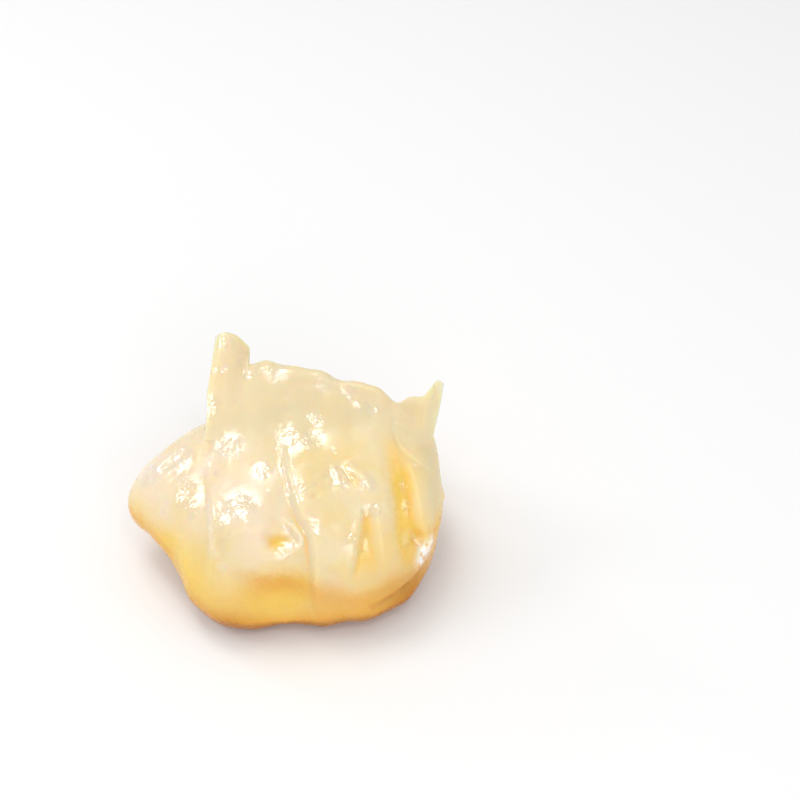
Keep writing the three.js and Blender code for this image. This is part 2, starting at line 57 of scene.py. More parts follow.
# ---- rings round the filling: rise, centre x y and height, half widths left right front back,
# and how square the front is ----
OVALS = {
    "foot": (0.00, 2.0, -3.5, 0.0, 14.0, 16.0, 15.0, 12.5, 2.5),
    "heel": (0.07, 2.0, -3.5, 2.4, 17.0, 20.5, 17.6, 16.0, 2.6),
    "belly": (0.25, 1.0, -3.0, 9.5, 21.5, 24.5, 18.6, 19.5, 2.5),
    "waist": (0.46, 1.5, -2.0, 17.5, 21.5, 24.5, 16.6, 17.5, 2.3),
    "brow": (0.65, 4.0, 1.0, 23.6, 19.4, 20.9, 10.5, 9.5, 2.2),
}
BACK_SQUARENESS = 2.1
STEEPEST = 1.5  # the loft's slope at a ring, at most, against the flatter of its two sides
PLAN_MIDDLE = (-0.9483, -2.7007)  # middle of the dumpling's box in the tables' plan

# ---- the pinched crest ----
ROOT_LINE = [(-14.4, 0.8), (-3.0, 6.0), (15.0, 6.5), (24.6, 0.3)]
RIM_LINE = [(-13.8, 12.3), (-2.0, 14.4), (15.0, 8.0), (26.0, 2.6)]
SLITS = {  # rise, height from root (0) to rim (1), half thickness
    "root": (0.81, 0.00, 2.10),
    "face": (0.91, 0.55, 1.15),
    "lip": (0.98, 0.93, 0.85),
    "rim": (1.00, 1.00, 0.30),
}
# a height in mm, and by how much it changes between two places along the crest
ROOT_HEIGHT = (26.0, [((0.0, 0.2), 1.4), ((0.7, 1.0), -1.6)])
RIM_HEIGHT = (31.0, [((0.1, 0.75), 1.7), ((0.3, 0.62), -2.3), ((0.79, 0.95), 5.4)])
RIM_DIPS = [(0.79, 0.06, 1.9), (1.0, 0.02, 1.0)]  # place, reach, mm down
TAB_END = (0.178, 0.148)  # places along the crest between which the tab begins
TAB_SHIFT = (0.7, 4.0, 3.5)  # mm its free edge stands to the right, back and up of the collar's
TAB_BEND = 2.5  # power of the height by which that grows
TAB_CORNERS = [(0.0, 0.03, 0.8), (0.165, 0.055, 3.4)]  # place, reach, mm down
EAR_BACK = ((0.9, 0.99), 1.5)  # places between which its tip bends back, mm
RIM_RIPPLES = [(0.35, 31, 0), (0.2, 53, 1)]  # mm, turns along the crest in radians, start
RIPPLES_BEND = 4  # power of the height by which they grow
EAR_CURL = (0.90, 0.06, 3.2)  # place, reach, mm forward
THICKER = [((0.3, 0.02), 0.2), ((0.8, 0.95), 0.1)]  # changes as shares of the half thickness
THINNER_BEHIND_EAR = ((0.72, 0.84), 0.65)
END_SHARPNESS = 4.5
SIDE_SHARPNESS = 0.25
ROUNDNESS = 0.55
STEP_ALONG = 0.004  # step along the crest by which its run is measured
LEAST_RISE = 2.0  # mm from root to rim, at least, where the crest's lean is measured

# ---- how the pleats run, in degrees round the dumpling ----
PLEAT_LEAN = 27
LEAN_STARTS = (180, 232)
LEAN_ENDS = (335, 360)
UPRIGHT_FROM = (277, 294)
UPRIGHT_SHARE = 0.86
LEAN_RISES = (0.24, 0.76)
MAIN_PLEAT = 278
MAIN_REACH = 15  # how far from it the columns still swing with it
MAIN_RISES = ((0.02, 0.22), (0.74, 0.90))  # where its swing sets in and where it fades
MAIN_SWING = [  # rise, and degrees that the main pleat stands to the right of its column there
    (0.05, -4.0), (0.24, -4.3), (0.33, -2.0), (0.42, 3.4), (0.49, 7.3), (0.545, 8.2),
    (0.60, 6.9), (0.663, 3.3), (0.703, -1.0), (0.75, -5.5), (0.85, -8.0),
]

# ---- lumps of filling and dents: x, y, z, radius, push ----
LUMPS = {
    "left shrimp": (-22.5, -2, 12, 7.2, 7.6),
    "above left shrimp": (-17, 3, 20, 6, 1.3),
    "front foot": (-10, -20.5, 6, 7, 3.0),
    "below left shrimp": (-16, -14, 6, 5, 1.5),
    "middle shrimp": (-3, -18, 17.5, 6, 1.6),
    "below middle shrimp": (-1, -22, 10, 5.2, -1.1),
    "upper front": (-9, -13, 21, 7, 1.0),
    "right front": (12, -19, 8, 7, 1.0),
    "back left": (-12, 13, 13, 8, 1.8),
    "back middle": (3, 17, 10, 7, 1.4),
    "back right": (16, 12, 13, 7, 1.6),
    "back hollow left": (-4, 14, 20, 5, -0.8),
    "back hollow right": (10, 14, 20, 5, -0.8),
}

SMALL_LUMPS = {
    "left shoulder": (-16.9, -9.6, 19.2, 3.2, 0.9),
    "middle shoulder": (-7.5, -15.0, 21.2, 4.0, 1.2),
    "below the tab": (-9.9, -2.1, 25.6, 2.6, 0.5),
    "lobe": (-4.6, -19.4, 17.0, 4.4, 0.9),
    "lobe right": (1.0, -19.6, 16.6, 2.8, 0.4),
    "under the lobe": (-1.6, -21.6, 11.6, 4.6, -0.8),
    "dimple left": (-1.9, -17.8, 19.6, 1.25, -1.15),
    "dimple right": (-0.4, -17.5, 19.8, 1.15, -0.85),
    "right knob": (25.6, -5.6, 17.2, 1.3, 0.7),
    "right knob above": (25.2, -4.6, 19.6, 1.0, 0.5),
    "right low": (20.5, -16.0, 12.0, 3.0, 0.6),
    "hollow at the right": (21.0, -12.6, 14.6, 2.0, -0.5),
    "crumb high": (23.6, -11.9, 13.1, 0.9, 0.35),
    "crumb middle": (22.6, -13.3, 12.2, 1.1, 0.45),
    "crumb low": (21.8, -14.9, 11.5, 1.0, 0.35),
}

# ---- creases and ridges: a path of (angle, rise), its width and its height in mm ----
CREASES = {
    "above the tuck": ([(291.1, 0.703), (292.3, 0.683), (294.2, 0.663), (299.2, 0.633)], 0.8, 0.5),
    "beside that ridge": ([(289.0, 0.700), (290.5, 0.672), (293.0, 0.645)], 0.9, -0.35),
    "crinkle 1": ([(288.5, 0.703), (288.5, 0.663)], 0.4, 0.28),
    "crinkle 2": ([(289.4, 0.693), (289.9, 0.663)], 0.35, 0.25),
    "crinkle 3": ([(286.9, 0.673), (286.3, 0.658)], 0.35, 0.25),
    "crinkle 4": ([(287.4, 0.648), (288.0, 0.633)], 0.4, 0.3),
    "slit": ([(282.7, 0.628), (284.0, 0.624)], 0.45, -0.4),
    "ring right": ([(274.0, 0.570), (276.6, 0.545), (277.2, 0.513), (275.6, 0.482), (271.5, 0.462)],
                   0.65, 0.6),
    "ring left": ([(271.0, 0.552), (267.6, 0.535), (266.2, 0.505), (267.5, 0.478)], 0.8, 0.3),
    "under the lobe": ([(255.0, 0.392), (262.0, 0.370), (270.6, 0.362), (275.9, 0.390)], 1.8, -0.3),
    "below the tab": ([(206.0, 0.765), (217.0, 0.733), (227.9, 0.678)], 0.7, -0.35),
    "left chain": ([(246.2, 0.600), (248.6, 0.549), (249.8, 0.515), (249.0, 0.460), (249.0, 0.400)],
                   0.9, 0.3),
    "left lobe groove": ([(181.9, 0.490), (183.5, 0.545), (186.0, 0.610)], 0.8, -0.2),
    "left lobe ridge": ([(187.0, 0.470), (190.0, 0.525), (193.4, 0.614)], 0.8, 0.25),
    "right hem": ([(295.4, 0.173), (307.1, 0.198), (318.7, 0.218), (330.5, 0.257)], 1.4, -0.6),
    "above the hem": ([(296.0, 0.200), (307.1, 0.225), (318.7, 0.245), (329.0, 0.285)], 1.1, 0.4),
    "back 1": ([(48.0, 0.36), (44.0, 0.50), (38.0, 0.66)], 1.2, -0.6),
    "back 2": ([(83.0, 0.30), (79.0, 0.48), (72.0, 0.70)], 1.0, -0.55),
    "back 2 ridge": ([(87.5, 0.34), (83.0, 0.50), (77.0, 0.70)], 1.1, 0.4),
    "back 3": ([(116.0, 0.38), (112.0, 0.54), (106.0, 0.70)], 1.3, -0.6),
    "back 4": ([(150.0, 0.34), (145.0, 0.50), (136.0, 0.66)], 1.1, -0.55),
    "back 4 ridge": ([(145.5, 0.36), (140.5, 0.50), (132.0, 0.64)], 1.1, 0.35),
}

# ---- flaps: the path of (angle, rise) of a flap's edge, which turns round the flap anticlockwise
# as seen from outside, then the edge's height and softness and how far the flap reaches ----
FLAPS = {
    "ear": ([(320.6, 0.840), (321.8, 0.780), (323.8, 0.730), (326.5, 0.697), (330.5, 0.663),
             (338.0, 0.615), (348.0, 0.559)], 0.7, 0.55, 3.5),
    "left pleat": ([(226.0, 0.700), (234.0, 0.638), (243.0, 0.564), (245.4, 0.490), (242.4, 0.420),
                    (239.6, 0.341), (240.0, 0.250)], 0.45, 0.9, 7.0),
}

# ---- waves of the wrapper: wavelength, size in mm and its share where the skin isn't wrinkled ----
WAVES = [(7.5, 0.06, 2.0), (3.0, 0.035, 0.5), (1.3, 0.028, 0.10)]
WAVES_SEED = 7
WAVES_TOGETHER = 28  # plain waves that make up one of these
WAVELENGTHS = (0.75, 1.3)  # the shortest and the longest of them, as shares of the wavelength
WAVES_RUN = (1.0, 0.6, 0.6)  # crests run rather up and down the pleats than across them
WRINKLED = {  # x, y, z, radius
    "left lobe top": (-18.5, -2.0, 22.5, 2.4),
    "left lobe": (-23.8, -2.4, 19.0, 2.2),
    "left shoulder": (-16.3, -9.0, 21.1, 2.8),
    "middle shoulder": (-7.2, -13.2, 23.1, 2.9),
    "below the tab": (-9.9, -2.1, 25.6, 2.2),
    "centre": (0.0, -1.2, 26.5, 2.6),
    "centre left": (-4.1, -6.6, 24.6, 1.6),
    "right of centre": (4.5, -1.0, 26.1, 1.8),
    "main pleat high": (-0.2, -5.8, 24.9, 1.2),
    "main pleat": (1.2, -10.6, 24.1, 2.2),
    "main pleat low": (4.0, -16.6, 21.6, 1.5),
    "chain": (-11.0, -14.5, 21.3, 1.8),
    "chain low": (-10.8, -17.2, 18.2, 1.8),
    "ring": (1.4, -16.4, 21.0, 1.5),
    "ring right": (1.4, -17.8, 19.8, 1.2),
    "ring low": (-0.3, -19.5, 19.2, 1.2),
    "tuck": (9.1, -7.5, 24.5, 2.0),
    "right of the tuck": (13.8, -9.5, 24.9, 1.4),
    "in the tuck": (11.9, -17.4, 19.0, 2.2),
    "gritty": (22.6, -13.3, 12.2, 2.2),
    "recess low": (19.4, -13.0, 14.6, 1.8),
    "in the recess": (20.0, -9.7, 19.1, 1.0),
    "high in the recess": (19.4, -7.0, 21.2, 1.0),
    "tab edge": (-13.5, 5.0, 28.0, 1.8),
    "tab tip": (-11.3, 15.0, 34.2, 1.5),
    "rim left": (-2.2, 9.9, 31.5, 1.6),
    "rim middle": (5.8, 8.1, 30.8, 1.6),
    "rim right": (10.0, 6.8, 30.0, 1.2),
}

# ---- where the filling shows through, and other spots, some of them painted shade: x, y, z, radius ----
SHRIMP_SHOWS = {
    "left": (-22.0, -6.0, 15.0, 8.0),
    "middle": (-3.5, -16.5, 19.0, 4.8),
    "upper middle": (-10.0, -8.0, 23.5, 6.0),
    "left top": (-20.5, -3.0, 20.5, 5.0),
    "back left": (-12, 14, 14, 7.0),
    "back right": (15, 14, 13, 7.0),
}
SHADE_SPOTS = {  # painted shade: amber where shade falls, under the lobe, low down, in gaps beside the pleats and the ear, and in the dimple
    "below the lobe": (-3.0, -22.0, 9.5, 6.0),
    "left low": (-15.5, -18.0, 8.0, 7.3),
    "left of the main pleat": (1.8, -21.2, 11.5, 3.0),
    "left flank": (-19.8, -13.0, 12.0, 4.5),
    "left tip": (-26.5, -6.5, 12.0, 4.5),
    "right low": (16.0, -19.0, 4.0, 8.0),
    "right edge": (25.0, -8.6, 11.5, 3.5),
    "beside the ear low": (20.2, -12.8, 15.0, 4.6),
    "beside the ear high": (18.9, -6.5, 21.0, 3.0),
    "dimple": (-1.4, -17.8, 19.4, 1.7),
}
DOUBLED = {  # a second layer of wrapper hides what is behind
    "root of the ear": (23.5, -3.5, 24.5, 3.0),
    "below the ear": (24.0, -6.2, 19.8, 3.2),
    "far below the ear": (23.8, -8.4, 16.2, 2.4),
}
STARCH_AND_GLINT_SPOTS = {  # whitish grains on the crumb: partly dry starch, partly a painted highlight for the glints on its crinkles
    "crumb high": (23.6, -11.9, 13.1, 0.9),
    "crumb middle": (22.6, -13.3, 12.2, 1.2),
    "crumb low": (21.8, -14.9, 11.5, 1.1),
}
FOOT_SHADE_SPOTS = {  # painted shade: brown at the foot, where the wrapper meets the floor in shadow
    "right foot": (20.5, -17.0, 4.0, 7.0),
    "left foot": (-10.0, -21.0, 2.0, 5.5),
}

SHEET_RISES = (0.70, 0.84)  # between which the wrapper loses the filling behind it
# the hollow mask is painted shade: amber where a point lies deeper than the wrapper round it, or in a
# fold that goes inwards
HOLLOW_REACHES = (1.2, 3.0)  # mm round a point over which its depth is judged
HOLLOW_DEPTH = 0.35  # depth that counts in full, as a share of that reach
HOLLOW_LEAST = -0.3  # what a bulge takes off, at most
HOLLOW_SHARE = 0.6  # what the depth adds to the mask
SUNK_SHARE = 0.8  # what a fold that goes inwards adds to it

# ---- folds: rise and angle at both ends, half width at both ends, softness of the left and
# right edges, height, how it fades at both ends, whether its angle is that of its left edge and
# not of its middle, and how far that edge hangs over ----
FOLDS = {
    "main pleat": dict(rise=(0.29, 0.68), angle=(279.3, 279.3), half=(6.0, 4.0), edges=(0.9, 5.5),
                       height=1.35, fade=(0.17, 0.14), from_edge=True, lip=0.1),
    "tuck": dict(rise=(0.37, 0.585), angle=(294, 294.5), half=(2.6, 0.5), edges=(1.3, 1.5),
                 height=-1.3, fade=(0.09, 0.03)),
    "recess beside the ear": dict(rise=(0.33, 0.72), angle=(320.2, 315.2), half=(2.9, 1.2),
                                  edges=(2.0, 1.0), height=-1.8, fade=(0.09, 0.12)),
    "right crease": dict(rise=(0.30, 0.62), angle=(343, 343), half=(1.2, 0.4), edges=(1.6, 2.2),
                         height=-0.4, fade=(0.12, 0.10)),
    "end crease": dict(rise=(0.34, 0.64), angle=(366, 360), half=(1.2, 0.4), edges=(2.2, 1.8),
                       height=-1.2, fade=(0.12, 0.10)),
}
LIP_REACH = 1.6  # mm over which an edge that hangs over draws the wrapper along

# ---- rises between which the changes to the smooth wrapper set in or fade ----
FOOT_RISES = (0.0, 0.06)
LUMPS_FADE = (0.62, 0.80)
FOLDS_FADE = (0.86, 0.97)
SHOULDER = (0.76, 0.12)  # rise and spread of the turn into the crest, which is evened
SHOULDER_FADE = (0.90, 0.84)
DRAPE = 1.8  # mm over which that turn is evened, and the direction in which the flaps stand


# ---- helpers ----
def smooth(x, none, full):
    """Eases from 0 at one value of x to 1 at another, which may be the smaller."""
    t = np.clip((x - none) / (full - none), 0, 1)
    return t * t * (3 - 2 * t)


def bell(x, at, width):
    return np.exp(-(((x - at) / width) ** 2))


def unit(vectors):
    return vectors / np.maximum(np.linalg.norm(vectors, axis=-1, keepdims=True), 1e-9)


def changed(start, changes, t):
    """A value that starts as start and changes by an amount between two places, once or more."""
    return start + sum(by * smooth(t, *places) for places, by in changes)


def between(t, span, low, low_slope, high, high_slope):
    """A cubic from low to high with these slopes, t running from 0 to 1 over the span."""
    return (
        (2 * t**3 - 3 * t**2 + 1) * low + (t**3 - 2 * t**2 + t) * span * low_slope
        + (3 * t**2 - 2 * t**3) * high + (t**3 - t**2) * span * high_slope
    )


def through(knots, x):
    """A smooth curve through (x, value) knots, level beyond its ends."""
    at, value = (np.array(column, float) for column in zip(*knots))
    slope = np.zeros(len(at))
    slope[1:-1] = (value[2:] - value[:-2]) / (at[2:] - at[:-2])
    x = np.clip(x, at[0], at[-1])
    i = np.clip(np.searchsorted(at, x, side="right") - 1, 0, len(at) - 2)
    span = at[i + 1] - at[i]
    return between((x - at[i]) / span, span, value[i], slope[i], value[i + 1], slope[i + 1])


def bezier(points, t):
    s = 1 - t
    weights = (s**3, 3 * s * s * t, 3 * s * t * t, t**3)
    return sum(w[..., None] * np.array(p, float) for w, p in zip(weights, points))


# ---- rings ----
def oval_ring(angle, name):
    _, x, y, height, left, right, front, back, square = OVALS[name]
    across, deep = np.cos(angle), np.sin(angle)
    power = 2 / np.where(deep < 0, square, BACK_SQUARENESS)
    half_x = np.where(across < 0, left, right)
    half_y = np.where(deep < 0, front, back)
    return np.stack([
        x + half_x * np.sign(across) * np.abs(across) ** power,
        y + half_y * np.sign(deep) * np.abs(deep) ** power,
        height + 0 * angle,
    ], -1)


def place_on_crest(angle):
    turned = (angle + np.pi) % (2 * np.pi) - np.pi
    even = 1 - 2 * np.abs(turned) / np.pi
    return 0.5 + 0.5 * (even + (np.cos(angle) - even) * ROUNDNESS)


def rim_height(t):
    z = changed(*RIM_HEIGHT, t)
    for at, width, depth in RIM_DIPS:
        z = z - depth * bell(t, at, width)
    return z


def tab_shift(t, height):
    """How far the tab carries a point of the crest on past the collar, in the collar's own lie."""
    right, back, up = TAB_SHIFT
    up = up - sum(depth * bell(t, at, reach) for at, reach, depth in TAB_CORNERS)
    shift = np.stack([right + 0 * t, back + 0 * t, up], -1)
    return shift * (smooth(t, *TAB_END) * height**TAB_BEND)[..., None]


def crest_point(t, height):
    """A point midway through the crest, by its place along it and its height from root to rim."""
    place = bezier(ROOT_LINE, t) * (1 - height) + bezier(RIM_LINE, t) * height
    at, width, forward = EAR_CURL
    places, back = EAR_BACK
    y = place[..., 1] - forward * bell(t, at, width) + back * smooth(t, *places) * height
    ripples = sum(size * np.sin(t * turns + start) for size, turns, start in RIM_RIPPLES)
    z = changed(*ROOT_HEIGHT, t) * (1 - height) + rim_height(t) * height + ripples * height**RIPPLES_BEND
    return np.stack([place[..., 0], y, z], -1)


def slit_ring(angle, name):
    _, height, half = SLITS[name]
    t = place_on_crest(angle)
    ahead, behind = np.minimum(t + STEP_ALONG, 1), np.maximum(t - STEP_ALONG, 0)
    run = crest_point(ahead, height) - crest_point(behind, height)
    run[..., 2] = 0
    run = unit(run)
    lean = crest_point(t, 1.0) - crest_point(t, 0.0)
    lean[..., 2] = np.maximum(lean[..., 2], LEAST_RISE)
    level = np.stack([-run[..., 1], run[..., 0], 0 * t], -1)
    share = min(1.0, 2 * height)
    backwards = unit(level * (1 - share) + unit(np.cross(lean, run)) * share)
    ends = np.sqrt(np.clip(1 - np.abs(2 * t - 1) ** END_SHARPNESS, 0, 1))
    side = np.sign(np.sin(angle)) * np.abs(np.sin(angle)) ** SIDE_SHARPNESS
    places, thinner = THINNER_BEHIND_EAR
    kept = np.where(np.sin(angle) > 0, 1 - thinner * smooth(t, *places), 1)
    offset = half * changed(1, THICKER, t) * ends * side * kept
    return crest_point(t, height) + tab_shift(t, height) + backwards * offset[..., None]


# ---- the smooth wrapper ----
def wrapper_points(angle, rise):
    rings = [(OVALS[name][0], oval_ring(angle, name)) for name in OVALS]
    rings += [(SLITS[name][0], slit_ring(angle, name)) for name in SLITS]
    rises = [r for r, _ in rings]
    points = [p for _, p in rings]
    steps = [(points[i + 1] - points[i]) / (rises[i + 1] - rises[i]) for i in range(len(rings) - 1)]
    slopes = [steps[0]]
    for i in range(1, len(rings) - 1):
        share = (rises[i] - rises[i - 1]) / (rises[i + 1] - rises[i - 1])
        slope = steps[i - 1] * (1 - share) + steps[i] * share
        least = np.minimum(*(np.linalg.norm(s, axis=-1, keepdims=True) for s in (steps[i - 1], steps[i])))
        length = np.maximum(np.linalg.norm(slope, axis=-1, keepdims=True), 1e-9)
        slopes.append(slope * np.minimum(1, STEEPEST * least / length))
    slopes.append(steps[-1])
    out = np.zeros(angle.shape + (3,))
    for i, (low, high) in enumerate(zip(rises, rises[1:])):
        here = (rise >= low) & ((rise < high) | (high == 1.0))
        t = ((rise - low) / (high - low))[..., None]
        value = between(t, high - low, points[i], slopes[i], points[i + 1], slopes[i + 1])
        out[here] = value[here]
    return out


def leaning(angle, rise):
    """Where a column of the grid stands at each rise: the columns follow the pleats."""
    degrees = np.degrees(angle)
    front = smooth(degrees, *LEAN_STARTS) * (1 - smooth(degrees, *LEAN_ENDS))
    upright = UPRIGHT_SHARE * smooth(degrees, *UPRIGHT_FROM)
    lean = PLEAT_LEAN * front * (1 - upright) * smooth(rise, *LEAN_RISES)
    starts, ends = MAIN_RISES
    held = smooth(rise, *starts) * (1 - smooth(rise, *ends))
    swing = through(MAIN_SWING, rise) * held * bell(degrees, MAIN_PLEAT, MAIN_REACH)
    return angle + np.radians(swing - lean)


# ---- the grid ----
def spread(first, last, count):
    """Angles in degrees from first up to last, closer together at the pleats' edges."""
    fine = np.linspace(first, last, CROWDING_STEPS)
    crowding = 1 + sum(more * bell(fine, at, width) for at, width, more in CROWDED_AT)
    total = np.concatenate([[0], np.cumsum((crowding[1:] + crowding[:-1]) / 2)])
    return np.interp(np.arange(count) / count * total[-1], total, fine)


def lie_of(points, angle):
    """Outward direction, direction round the dumpling, and millimetres per radian there."""
    around = np.roll(points, -1, 1) - np.roll(points, 1, 1)
    up = np.gradient(points, axis=0)
    turn = (np.roll(angle, -1, 1) - np.roll(angle, 1, 1)) % (2 * np.pi)
    return unit(np.cross(around, up)), unit(around), np.linalg.norm(around, axis=-1) / turn


def softened(values, reach):
    """Values of the grid, each averaged with its neighbours within about reach mm."""
    steps = int(round(reach / GRID_SPACING))
    for _ in range(2):
        total = sum(np.roll(values, k, 1) for k in range(-steps, steps + 1))
        values = total / (2 * steps + 1)
        padded = np.concatenate([values[:1]] * steps + [values] + [values[-1:]] * steps)
        rows = len(values)
        values = sum(padded[k : k + rows] for k in range(2 * steps + 1)) / (2 * steps + 1)
    return values


def lump_height(points, lumps):
    height = np.zeros(points.shape[:-1])
    for x, y, z, radius, push in lumps.values():
        height += push * bell(np.linalg.norm(points - np.array([x, y, z]), axis=-1), 0, radius)
    return height


def grid_point(points, angle, rise, path_angle, path_rise):
    """Where a place of the wrapper lies, from the grid's four points round it."""
    path_angle = (path_angle - LEFT_END) % WHOLE_TURN + LEFT_END
    column = np.interp(np.radians(path_angle), angle[0], np.arange(angle.shape[1]))
    row = np.interp(path_rise, rise[:, 0], np.arange(rise.shape[0]))
    i, j = np.floor(row).astype(int), np.floor(column).astype(int)
    i, j = np.minimum(i, rise.shape[0] - 2), np.minimum(j, angle.shape[1] - 2)
    u, v = (row - i)[:, None], (column - j)[:, None]
    low = points[i, j] * (1 - v) + points[i, j + 1] * v
    high = points[i + 1, j] * (1 - v) + points[i + 1, j + 1] * v
    return low * (1 - u) + high * u


def path_through(points, angle, rise, path):
    """A path of (angle, rise) as a smooth line of points on the wrapper."""
    steps = np.arange(len(path))
    t = np.linspace(0, len(path) - 1, PATH_POINTS)
    path_angle, path_rise = (through(list(zip(steps, column)), t) for column in zip(*path))
    return grid_point(points, angle, rise, path_angle, path_rise)


def beside(points, line, reach):
    """Which points lie near a line, how far away and to its left, and the line's fade at both ends."""
    inside = np.all((points > line.min(0) - reach) & (points < line.max(0) + reach), -1)
    nearest = np.linalg.norm(points[inside][:, None] - line[None], axis=-1).argmin(1)
    offset = points[inside] - line[nearest]
    run = np.gradient(line, axis=0)[nearest]
    along = np.clip((offset * run).sum(-1) / (run * run).sum(-1), -0.5, 0.5)
    away = np.linalg.norm(offset - along[:, None] * run, axis=-1)
    ends = np.sin(np.pi * (nearest + along + 0.5) / len(line)).clip(0)
    return inside, away, np.cross(unit(run), offset), ends


def crease_height(points, angle, rise):
    height = np.zeros(angle.shape)
    for path, width, size in CREASES.values():
        inside, away, _, ends = beside(points, path_through(points, angle, rise, path), 3 * width)
        height[inside] += size * bell(away, 0, width) * ends
    return height


def flap_height(points, angle, rise, outward):
    height = np.zeros(angle.shape)
    for path, size, softness, reach in FLAPS.values():
        line = path_through(points, angle, rise, path)
        inside, away, leftward, ends = beside(points, line, reach)
        across = (leftward * outward[inside]).sum(-1)
        fade = 1 - smooth(away, softness, reach)
        height[inside] += size * smooth(across, -softness, softness) * fade * ends
    return height


def wave_height(points):
    chance = np.random.default_rng(WAVES_SEED)
    wrinkled = near(points, WRINKLED)
    height = np.zeros(points.shape[:-1])
    for length, size, elsewhere in WAVES:
        wave = np.zeros(points.shape[:-1])
        for _ in range(WAVES_TOGETHER):
            way = unit(chance.normal(size=3) * WAVES_RUN)
            way = way * 2 * np.pi / (length * chance.uniform(*WAVELENGTHS))
            wave += np.sqrt(2 / WAVES_TOGETHER) * np.cos(points @ way + chance.uniform(0, 2 * np.pi))
        height += size * wave * (elsewhere + (1 - elsewhere) * wrinkled)
    return height


def fold_shift(angle, rise, scale):
    """Height of the folds, how far each point is drawn round the dumpling, and its share of a hollow."""
    height = np.zeros(angle.shape)
    drawn = np.zeros(angle.shape)
    sunk = np.zeros(angle.shape)
    for fold in FOLDS.values():
        low, high = fold["rise"]
        v = (rise - low) / (high - low)
        half = fold["half"][0] + (fold["half"][1] - fold["half"][0]) * np.clip(v, 0, 1)
        middle = np.radians(fold["angle"][0] + (fold["angle"][1] - fold["angle"][0]) * v)
        across = ((angle - middle + np.pi) % (2 * np.pi) - np.pi) * scale
        if fold.get("from_edge"):
            across = across - half
        left, right = fold["edges"]
        fade = smooth(rise, low - fold["fade"][0], low + fold["fade"][0])
        fade = fade * (1 - smooth(rise, high - fold["fade"][1], high + fold["fade"][1]))
        raised = smooth(across, -half - left, -half + left)
        share = raised * (1 - smooth(across, half - right, half + right)) * fade
        height += fold["height"] * share
        if fold["height"] < 0:
            sunk += share
        if "lip" in fold:
            drawn -= fold["lip"] * raised * (1 - smooth(across, -half + left, -half + LIP_REACH)) * fade
    return height, drawn, sunk


def wrapper_grid():
    """The grid's angles and rises, its points, their waves, and their share of a hollow."""
    front = spread(LEFT_END, RIGHT_END, FRONT_COLUMNS)
    back = spread(RIGHT_END, LEFT_END + WHOLE_TURN, BACK_COLUMNS)
    columns = np.radians(np.concatenate([front, back]))
    rows = np.concatenate([np.linspace(0, LAST_EVEN_RISE, EVEN_ROWS), RIM_RISES])
    angle, rise = np.meshgrid(columns, rows)
    points = wrapper_points(leaning(angle, rise), rise)
    evened = (bell(rise, *SHOULDER) * smooth(rise, *SHOULDER_FADE))[..., None]
    points = points + (softened(points, DRAPE) - points) * evened
    grown = smooth(rise, *FOOT_RISES)
    outward, _, _ = lie_of(points, angle)
    lumps = lump_height(points, LUMPS) * grown * (1 - smooth(rise, *LUMPS_FADE))
    points = points + outward * lumps[..., None]
    outward, around, scale = lie_of(points, angle)
    height, drawn, sunk = fold_shift(angle, rise, scale)
    grown = grown * (1 - smooth(rise, *FOLDS_FADE))
    points = points + outward * (height * grown)[..., None] + around * (drawn * grown)[..., None]
    outward, _, _ = lie_of(points, angle)
    small = (lump_height(points, SMALL_LUMPS) + crease_height(points, angle, rise)) * grown
    draped = unit(softened(outward, DRAPE))
    flaps = flap_height(points, angle, rise, draped) * grown
    waves = wave_height(points) * grown
    points = points + outward * small[..., None] + draped * flaps[..., None]
    return angle, rise, points, outward * waves[..., None], sunk


# ---- closing the skin ----
def skin_faces(angle, rise):
    """The grid's faces, a fan under the foot, and a strip that zips the rim's front to its back."""
    rows, columns = rise.shape
    top = (rows - 1) * columns
    faces = []
    for row in range(rows - 1):
        low, high = row * columns, (row + 1) * columns
        for i in range(columns):
            j = (i + 1) % columns
            faces.append((low + i, low + j, high + j, high + i))
    centre = rows * columns
    faces += [((i + 1) % columns, i, centre) for i in range(columns)]
    along = place_on_crest(leaning(angle[-1], rise[-1]))
    front = list(range(FRONT_COLUMNS + 1))
    back = [0] + list(range(columns - 1, FRONT_COLUMNS - 1, -1))
    f = b = 0
    while f < len(front) - 1 or b < len(back) - 1:
        front_next = b == len(back) - 1 or (
            f < len(front) - 1 and along[front[f + 1]] <= along[back[b + 1]]
        )
        if front_next:
            corners = (front[f], front[f + 1], back[b])
            f += 1
        else:
            corners = (front[f], back[b + 1], back[b])
            b += 1
        if len(set(corners)) == 3:
            faces.append(tuple(top + i for i in corners))
    return faces


# ---- what the finish needs to know at each point ----
def near(points, spots):
    """1 at the middle of any of these spots (x, y, z, radius in mm), 0 well away."""
    share = np.zeros(points.shape[:-1])
    for x, y, z, radius in spots.values():
        share += bell(np.linalg.norm(points - np.array([x, y, z]), axis=-1), 0, radius)
    return np.clip(share, 0, 1)


def wrapper_masks(angle, rise, points, sunk):
    """What the finish reads at each point: shares from 0 to 1, the height in mm and the facing."""
    outward, _, _ = lie_of(points, angle)
    hollow_shade = np.zeros(angle.shape)
    for reach in HOLLOW_REACHES:
        inward = ((softened(points, reach) - points) * outward).sum(-1)
        hollow_shade += np.clip(inward / (HOLLOW_DEPTH * reach), HOLLOW_LEAST, 1)
    return {
        # painted shade in the creases and hollows
        "hollow_shade": np.clip(HOLLOW_SHARE * hollow_shade + SUNK_SHARE * sunk, 0, 1),
        "shrimp": near(points, SHRIMP_SHOWS),
        # painted shade in spots
        "spot_shade": near(points, SHADE_SPOTS),
        # painted shade at the foot
        "foot_shade": near(points, FOOT_SHADE_SPOTS),
        # whitish grains on the crumb, partly a painted highlight
        "starch_and_glint": near(points, STARCH_AND_GLINT_SPOTS),
        "sheet": np.maximum(smooth(rise, *SHEET_RISES), near(points, DOUBLED)),
        "wrinkled": near(points, WRINKLED),
        "height": points[..., 2],
        "facing_down": -outward[..., 2],
    }


